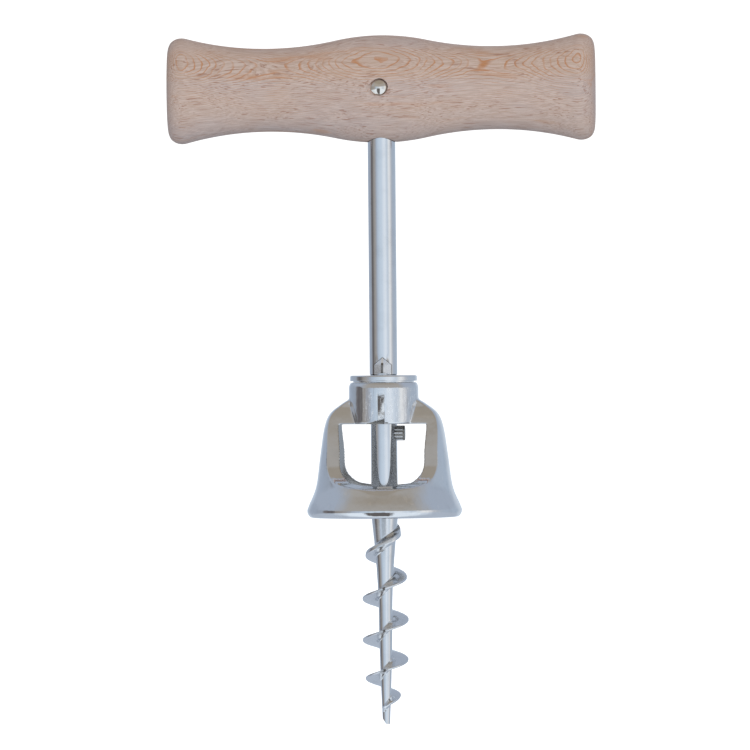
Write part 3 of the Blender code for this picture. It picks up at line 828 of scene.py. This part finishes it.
# %% Plate
def plate(name, tint, lines, polish, wave_size, marks, zones=None, dull_and_shade_colour=(0.42, 0.39, 0.345, 1.0)):
    """lines is how often the polishing lines cross each axis, per millimetre, and marks is how
    deep they are; zones gives a mask of what is less polished and of what is darkened with
    painted shade, a mask of what is matt and of what carries painted highlights, and a mask of
    what is rippled; the last argument is the colour of the less polished parts and of the
    painted shade.
    """
    material, shader, place = new_finish(name)
    streaks = place.noise(lines, 3.0, 0.6)
    swell = place.noise((0.30, 0.30, 0.26), 2.0, 0.5)
    smudge = place.noise((0.22, 0.22, 0.22), 3.0, 0.55)
    speck = place.noise((3.0, 3.0, 3.0), 2.0).ramp_up(0.68, 0.76)
    edges = place.node("NewGeometry", out="Pointiness")
    worn, inward_darkening = edges.ramp_up(0.515, 0.56), edges.ramp_up(0.485, 0.44)
    dull_tint = [0.80 * part for part in tint[:3]] + [1.0]
    colour = (smudge.ramp_up(0.45, 0.75) * 0.35 + speck * 0.25).mix(tint, dull_tint)
    colour = (worn * 0.5).mix(colour, (0.93, 0.92, 0.90, 1.0))
    # The colour is made darker where the surface curves inward.
    colour = (inward_darkening * 0.45).mix(colour, (0.30, 0.27, 0.23, 1.0))
    roughness = polish + streaks * 0.04 + smudge.ramp_up(0.4, 0.8) * 0.04 + worn * 0.08
    normal = bump(swell, wave_size)
    metallic = 1.0
    if zones:
        dull_and_shade, dull_roughness, frost_and_glint, ripple, ripple_size = zones(place)
        # The less polished mask also holds painted shade, and the matt mask also holds painted
        # highlights, so these mixes paint light and shade into the colour.
        colour = (dull_and_shade * 0.9).mix(colour, dull_and_shade_colour)
        colour = frost_and_glint.mix(colour, (0.86, 0.88, 0.90, 1.0))
        roughness = roughness + dull_roughness + frost_and_glint * 0.15
        metallic = 1 - frost_and_glint * 0.55
        normal = bump(ripple, ripple_size, normal)
    connect(shader, {
        "Base Color": colour,
        "Metallic": metallic,
        "Roughness": roughness,
        "Normal": bump(streaks, marks, normal),
    })
    return material


# %% [markdown]
# The same plate looks different where the mop can't reach. Inside the bell the casting stays
# grey and dull, the swaged ears keep the frosted faces that the press gave them, and the
# collar keeps the chatter of the lathe tool. Some zones paint light and shade into the colour:
# painted shade in the collar's notch, painted light and dark specks on the chatter for its
# reflections, painted shadow lines round the ears and along their crests, and painted
# highlights on the ridges of the pin. Each zone is a small sum on the place of a point.

# %% Zones that were polished less, and zones of painted light and shade
def from_axis(x, y):
    return (x ** 2.0 + y ** 2.0).math("SQRT")


def bell_zones(place):
    """The inside is greyer and less polished, the notch is darkened with painted shade, and the
    collar shows the chatter of the tool, with painted light and painted shade specks that stand
    in for its reflections.
    """
    x, y, z = place.axes()
    radius = from_axis(x, y)
    share = (z - (rim + half_way) / MM) / ((cage_height - half_way) / MM)
    narrowing = (hollow_radius - ceiling_radius) / MM
    wall = hollow_radius / MM - share.node("Clamp", None, {0: share}) * narrowing
    ceiling_height = (rim + cage_height) / MM
    inside = (wall - radius).ramp_up(-0.45, -0.2)
    inside = inside * z.ramp_up(ceiling_height + 0.1, ceiling_height - 0.2)
    # Painted shade: the notch is darkened and roughened.
    notch_shade = radius.ramp_up(collar_radius / MM - 0.1, collar_radius / MM - 0.3)
    notch_shade = notch_shade * z.ramp_up(ceiling_height - 0.1, ceiling_height + 0.1)
    notch_shade = notch_shade * z.ramp_up(ceiling_height + 1.5, ceiling_height + 1.3)
    low, high = ceiling_height + 0.5, collar_top / MM - 1.0
    barrel = radius.ramp_up(collar_radius / MM + 0.16, collar_radius / MM + 0.04)
    barrel = barrel * radius.ramp_up(collar_radius / MM - 0.3, collar_radius / MM - 0.15)
    barrel = barrel * z.ramp_up(low, low + 0.6) * z.ramp_up(high, high - 0.4)
    facets = place.noise((1.0, 1.0, 0.07), 2.0, 0.6)
    ribs = place.noise((1.2, 1.2, 4.5), 2.0, 0.6)
    # Light and dark specks painted on the chattered band stand in for its reflections.
    painted_light_specks = place.noise((2.6, 2.6, 0.45), 3.0, 0.7).ramp_up(0.52, 0.64)
    painted_dark_specks = place.noise((3.0, 3.0, 0.22), 3.0, 0.7).ramp_up(0.57, 0.70)
    chattered = barrel * x.ramp_up(-5.0, -4.4)
    pebbles = place.noise((1.1, 1.1, 1.1), 3.0, 0.7) * (1 - barrel)
    ripple = (facets + ribs * 0.5) * chattered + pebbles * 0.16
    dull_and_shade = inside * 0.7 + notch_shade + painted_dark_specks * chattered * 0.5
    return dull_and_shade, (inside + notch_shade) * 0.2, painted_light_specks * chattered * 0.8, ripple, 0.045 * MM


def bar_zones(place):
    """Each ear's outline is painted as a shadow groove, a painted line of shade runs along its
    crest, and its faces are left matt by the press.
    """
    x, y, z = place.axes()
    out, up = x.math("ABSOLUTE"), z - ear_base / MM
    on_side = y.math("ABSOLUTE").ramp_up(2.2, 2.5)
    half_width = ear_width / 2 / MM
    gable = (roof - ear_base) / MM - out * ((roof - eaves) / (ear_width / 2))
    below_gable = (gable - up).ramp_up(-0.12, 0.06) * out.ramp_up(half_width + 0.15, half_width)
    below_gable = below_gable * up.ramp_up(-0.3, -0.1)
    inner = (gable - up).ramp_up(0.05, 0.22) * out.ramp_up(half_width - 0.02, half_width - 0.18)
    # A painted line of shade darkens the middle of each ear's crest.
    crest = out.ramp_up(0.34, 0.22) * y.math("ABSOLUTE").ramp_up(4.2, 4.4)
    faces = below_gable * inner * on_side * (1 - crest)
    # The outline is a painted shadow: a dark line round each ear, where the die cut into the bar.
    outline = below_gable * (1 - inner) * on_side
    turning = place.noise((1.4, 1.4, 5.5), 2.0, 0.6)
    first_mark, all_marked = 92, 98
    marked = z.ramp_up(first_mark, all_marked)
    marked = marked * place.noise((0.4, 0.4, 0.05), 2.0).ramp_up(0.4, 0.6)
    marks = turning.ramp_up(0.55, 0.7) * marked
    grain = place.noise((3.0, 3.0, 0.5), 2.0, 0.6)
    flanks = from_axis(x, y).ramp_up(1.9, 2.7) * z.ramp_up(worm_length / MM, worm_length / MM - 3)
    return (outline + crest + marks * 0.08, outline * 0.1 + flanks * 0.14,
            faces * (grain * 0.5 + 0.45),
            turning * (marked * 0.8 + 0.2), 0.010 * MM)


def pin_zones(place):
    """The ridges between the flutes are painted light as highlights, and the rest of the pin is
    darker and rougher.
    """
    x, y, z = place.axes()
    angle = y.math("ARCTAN2", z - pin_height / MM)
    # Painted highlights: the ridges between the flutes are painted light.
    painted_crest_highlights = (angle * float(flutes)).math("COSINE").ramp_up(-0.1, 0.6)
    painted_crest_highlights = painted_crest_highlights * x.ramp_up(pin_high.x / MM - 0.35, pin_high.x / MM - 0.6)
    grain = place.noise((0.8, 4.0, 4.0), 2.0)
    return 1 - painted_crest_highlights, (1 - painted_crest_highlights) * 0.12, painted_crest_highlights * 0.5, grain, 0.01 * MM


NICKEL = (0.86, 0.865, 0.875, 1.0)
bar_plate = plate("drawn_bar_plate", NICKEL, (5.0, 5.0, 0.12), 0.035, 0.030 * MM, 0.002 * MM,
                  bar_zones, (0.16, 0.14, 0.12, 1.0))
cast_plate = plate("casting_plate", NICKEL, (2.5, 2.5, 1.2), 0.025, 0.10 * MM, 0.003 * MM,
                   bell_zones)
washer_plate = plate("stamped_plate", NICKEL, (3.0, 3.0, 3.0), 0.05, 0.030 * MM, 0.003 * MM)
pin_plate = plate("pin_plate", (0.95, 0.95, 0.95, 1.0), (0.5, 5.0, 5.0), 0.10, 0.010 * MM,
                  0.002 * MM, pin_zones, (0.26, 0.24, 0.21, 1.0))
rivet_plate = plate("rivet_plate", (0.91, 0.86, 0.79, 1.0), (2.0, 2.0, 2.0), 0.04, 0.10 * MM,
                    0.002 * MM)
dress(spindle_bar, bar_plate)
dress(polished_bell, cast_plate)
dress(thrust_ring, washer_plate)
dress(fluted_pin, pin_plate)
dress(domed_rivet, rivet_plate)

# %% [markdown]
# ## The studio
#
# Polished metal shows the room more than itself, so the room is part of the finish. Round the
# table there is a soft cool light in front and to the right, a dark gap at the left, a warm
# dim ceiling, a bright table and a dark tripod in front of it. The world shader draws that
# room by direction. The camera itself looks at plain white.

# %% Draw the room round the table
world = bpy.data.worlds.new("studio")
bpy.context.scene.world = world
world.use_nodes = True
start = Wire(world.node_tree)
direction = start.node("TexCoord", out="Generated")
east, north, up = direction.axes()
bearing = east.math("ARCTAN2", 0 - north) / (2 * pi) + 0.5
elevation = up.math("ARCSINE") * (180 / pi)
# Bearing in degrees, with the front at 0 and the left below it, and the colour seen there.
HORIZON = [(-180, (196, 208, 221)), (-158, (178, 190, 205)), (-146, (155, 166, 182)),
           (-130, (151, 162, 178)), (-105, (146, 155, 168)),
           (-97, (110, 108, 110)), (-88, (93, 90, 93)), (-80, (105, 104, 104)),
           (-72, (137, 134, 131)), (-60, (151, 149, 148)), (-50, (152, 156, 163)),
           (-38, (168, 181, 197)), (-28, (178, 192, 207)), (-14, (188, 202, 216)),
           (0, (192, 205, 219)), (12, (206, 216, 227)), (25, (214, 222, 231)),
           (36, (203, 213, 224)), (46, (186, 197, 210)), (56, (204, 211, 218)),
           (66, (222, 224, 226)), (77, (202, 204, 208)), (88, (171, 177, 186)),
           (100, (161, 172, 186)), (140, (160, 173, 189)), (158, (186, 196, 208)),
           (180, (196, 208, 221))]
stops = [(angle / 360 + 0.5, paint(*colour)) for angle, colour in HORIZON]
at_eye_level = bearing.node("ValToRGB", {"stops": stops}, {"Fac": bearing})
sideways_on = (bearing - 0.5).math("ABSOLUTE").ramp_up(0.14, 0.26)
low_ceiling = sideways_on.mix(paint(158, 155, 151), paint(156, 166, 181))
high_ceiling = sideways_on.mix(paint(148, 141, 131), paint(155, 165, 180))
ceiling = elevation.ramp_up(34, 52).mix(low_ceiling, high_ceiling)
table = sideways_on.mix(paint(218, 228, 238), paint(168, 178, 192))
room = elevation.ramp_up(10, 20).mix(at_eye_level, ceiling)
room = elevation.ramp_up(-12, -20).mix(room, table)
tripod_bearing = 0.483
in_front = (bearing - tripod_bearing).math("ABSOLUTE").ramp_up(0.075, 0.045)
tripod = in_front * elevation.ramp_up(-11, -17) * elevation.ramp_up(-74, -60)
room = (tripod * 0.95).mix(room, paint(80, 75, 73))
seen = start.node("LightPath", out="Is Camera Ray")
background = world.node_tree.nodes["Background"]
world_strength = 1.16
connect(background, {"Color": seen.mix(room, (1.0, 1.0, 1.0, 1.0)), "Strength": world_strength})

# %% [markdown]
# The floor is a plain pale table that glows a little, as a light table does, so that it stays
# white up to the horizon. Three large soft lights model the wood. The metal mirrors neither
# them nor the floor, because the room already says what the metal shows.

# %% Floor and lights
bm = bmesh.new()
bmesh.ops.create_circle(bm, segments=96, radius=4.0, cap_ends=True)
floor = as_object("floor", bm, Matrix.Translation((0, 0, -0.0005)))
table_top, shader, place = new_finish("table_top")
grit = place.noise((0.02, 0.02, 0.02), 2.0)
connect(shader, {"Base Color": (grit * 0.3).mix((0.86, 0.86, 0.86, 1), (0.9, 0.9, 0.9, 1)),
                 "Roughness": 0.7, "Emission Color": (1.0, 1.0, 1.0, 1.0),
                 "Emission Strength": 0.80})
dress(floor, table_top)
floor.visible_glossy = False
floor.visible_diffuse = False


def soft_light(name, place, aim, size, power):
    lamp = bpy.data.lights.new(name, "AREA")
    lamp.shape = "DISK"
    lamp.size = size
    lamp.energy = power
    thing = bpy.data.objects.new(name, lamp)
    thing.location = place
    thing.rotation_euler = (Vector(aim) - Vector(place)).to_track_quat("-Z", "Y").to_euler()
    thing.visible_glossy = False
    bpy.context.scene.collection.objects.link(thing)


middle = Vector((0, 0, (cad_box[0].z + cad_box[1].z) / 2))
lamp_size = 0.9
soft_light("key", (0.5, -1.2, 0.5), middle, lamp_size, 7.5)
soft_light("fill", (-0.9, -0.9, 0.2), middle, lamp_size, 3.2)
soft_light("back", (0.2, 1.2, 0.8), middle, lamp_size, 4.5)

# %% [markdown]
# ## The camera
#
# The corkscrew is seen straight from the front, from far away, so that nothing in it is
# foreshortened. The camera stands a little to one side and leans by half a degree.

# %% Camera
camera_turn, camera_lean = radians(4.0), radians(0.5)
distance = 1.5
frame_width = 176.0 * MM
camera = bpy.data.cameras.new("camera")
camera.sensor_width = 36.0
camera.lens = camera.sensor_width * distance / frame_width
camera.clip_start, camera.clip_end = 0.05, 20
viewer = bpy.data.objects.new("camera", camera)
look_at = Vector((-2.0 * MM, 0, 81.9 * MM))
viewer.rotation_euler = (Matrix.Rotation(camera_turn, 3, "Z") @ Matrix.Rotation(pi / 2, 3, "X")
                         @ Matrix.Rotation(-camera_lean, 3, "Z")).to_euler()
viewer.location = look_at + Vector((sin(camera_turn), -cos(camera_turn), 0)) * distance
bpy.context.scene.collection.objects.link(viewer)
bpy.context.scene.camera = viewer
bpy.context.scene.view_settings.view_transform = "Standard"
